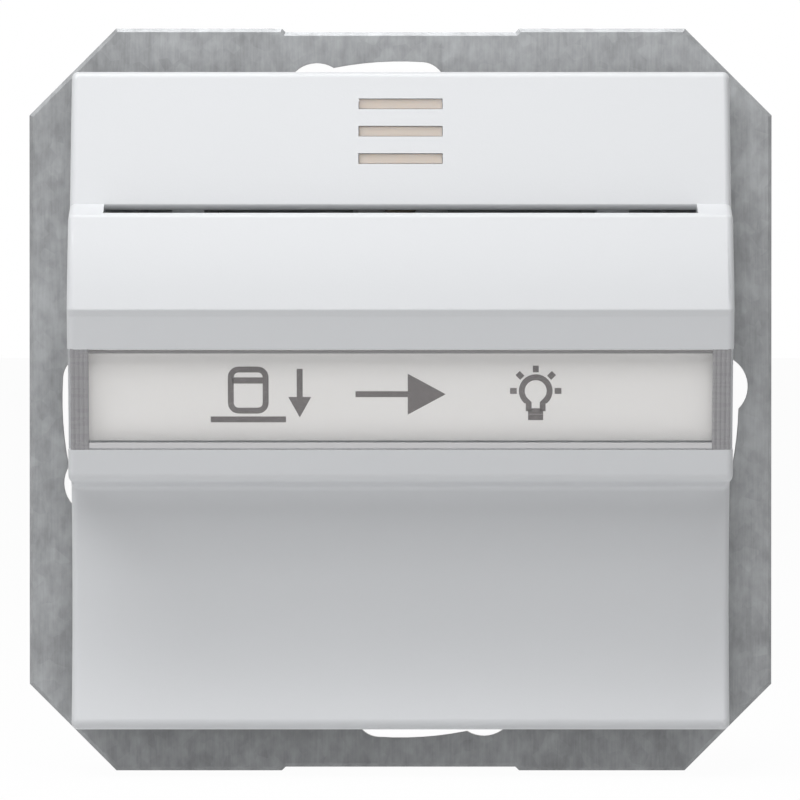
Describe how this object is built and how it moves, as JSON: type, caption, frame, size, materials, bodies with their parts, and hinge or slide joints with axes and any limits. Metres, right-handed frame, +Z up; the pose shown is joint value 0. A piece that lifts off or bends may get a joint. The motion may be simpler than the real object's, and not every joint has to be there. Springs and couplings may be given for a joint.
{
  "type": "hotel key card switch",
  "caption": "Flush-mounted hotel key card switch: steel carrier, white cover with card slot, slide-in label and light slits, and a switch base behind.",
  "frame": {"origin": "centre of the carrier plate in the plane of its back, which lies on the wall", "axes": "+Z up, +X to the right seen from the front, +Y into the wall; the front faces -Y"},
  "size_m": [0.071, 0.0454, 0.071],
  "materials": {
    "zinc_steel": "dull zinc plating",
    "white_cover": "satin white",
    "white_inside": "moulded white",
    "grey_base": "moulded light grey",
    "clear_window": "clear moulded plastic",
    "label_paper": "uncoated",
    "diffuser": "cream translucent",
    "bright_steel": "bright plated",
    "brass": "bare",
    "release_grey": "dark grey",
    "lamp_glass": "clear"
  },
  "bodies": {
    "housing": {"carrier_ring": "zinc_steel", "front_bridge": "grey_base", "base_housing": "grey_base", "housing_screws": "bright_steel", "common_terminal": "brass", "make_terminal": "brass", "break_terminal": "brass", "lamp_terminal": "brass", "clamp_springs_left": "bright_steel", "clamp_springs_right": "bright_steel", "claw_pins": "bright_steel", "lamp_holder": "white_inside", "glow_lamp": "lamp_glass", "lamp_contacts": "brass", "plunger_spring": "bright_steel"},
    "cover": {"cover_plate": "white_cover", "lamp_diffuser": "diffuser", "card_guide": "white_inside", "lever_pin": "bright_steel", "lever_spring": "bright_steel"},
    "label": {"label_window": "clear_window", "label_strip": "label_paper"},
    "lever": {"card_lever": "white_inside"},
    "plunger": {"plunger": "white_inside"},
    "contact": {"contact_arm": "brass"},
    "release_left": {"release_button_left": "release_grey"},
    "release_right": {"release_button_right": "release_grey"},
    "claw_left": {"claw_left": "zinc_steel"},
    "claw_right": {"claw_right": "zinc_steel"},
    "claw_screw_left": {"claw_screw_left": "bright_steel"},
    "claw_screw_right": {"claw_screw_right": "bright_steel"}
  },
  "joints": [
    {"name": "cover_pull", "type": "slide", "parent": "housing", "child": "cover", "axis": [0, -1, 0], "range_m": [0, 0.025]},
    {"name": "label_slide", "type": "slide", "parent": "cover", "child": "label", "axis": [1, 0, 0], "range_m": [0, 0.063]},
    {"name": "plunger_slide", "type": "slide", "parent": "housing", "child": "plunger", "axis": [0, 1, 0], "range_m": [0, 0.00153], "stiffness_N_per_m": 150, "springref_m": -0.001, "deforming": ["plunger_spring"]},
    {"name": "card_lever_pivot", "type": "hinge", "parent": "cover", "child": "lever", "pos_m": [0, -0.0092, 0.0085], "axis": [1, 0, 0], "range_deg": [0, 8], "deforming": ["lever_spring"]},
    {"name": "contact_arm_pivot", "type": "hinge", "parent": "housing", "child": "contact", "pos_m": [0, 0.0138, -0.012], "axis": [1, 0, 0], "range_deg": [-9.5, 0]},
    {"name": "release_left_press", "type": "slide", "parent": "housing", "child": "release_left", "axis": [0, -1, 0], "range_m": [0, 0.0012], "stiffness_N_per_m": 300, "springref_m": -0.002, "deforming": ["clamp_springs_left"]},
    {"name": "release_right_press", "type": "slide", "parent": "housing", "child": "release_right", "axis": [0, -1, 0], "range_m": [0, 0.0012], "stiffness_N_per_m": 300, "springref_m": -0.002, "deforming": ["clamp_springs_right"]},
    {"name": "claw_screw_left_turn", "type": "hinge", "parent": "housing", "child": "claw_screw_left", "pos_m": [-0.0218, 0, 0], "axis": [0, 1, 0], "range_deg": [0, 840]},
    {"name": "claw_screw_right_turn", "type": "hinge", "parent": "housing", "child": "claw_screw_right", "pos_m": [0.0218, 0, 0], "axis": [0, 1, 0], "range_deg": [0, 840]},
    {"name": "claw_left_swing", "type": "hinge", "parent": "housing", "child": "claw_left", "pos_m": [-0.0256, 0.0096, 0], "axis": [0, 0, 1], "range_deg": [0, 18]},
    {"name": "claw_right_swing", "type": "hinge", "parent": "housing", "child": "claw_right", "pos_m": [0.0256, 0.0096, 0], "axis": [0, 0, -1], "range_deg": [0, 18]}
  ],
  "couplings": [
    {"joint": "card_lever_pivot", "follows": "plunger_slide", "rad_per_m": 90.909},
    {"joint": "contact_arm_pivot", "follows": "plunger_slide", "rad_per_m": -105.26},
    {"joint": "claw_left_swing", "follows": "claw_screw_left_turn", "ratio": 0.0214},
    {"joint": "claw_right_swing", "follows": "claw_screw_right_turn", "ratio": 0.0214}
  ]
}
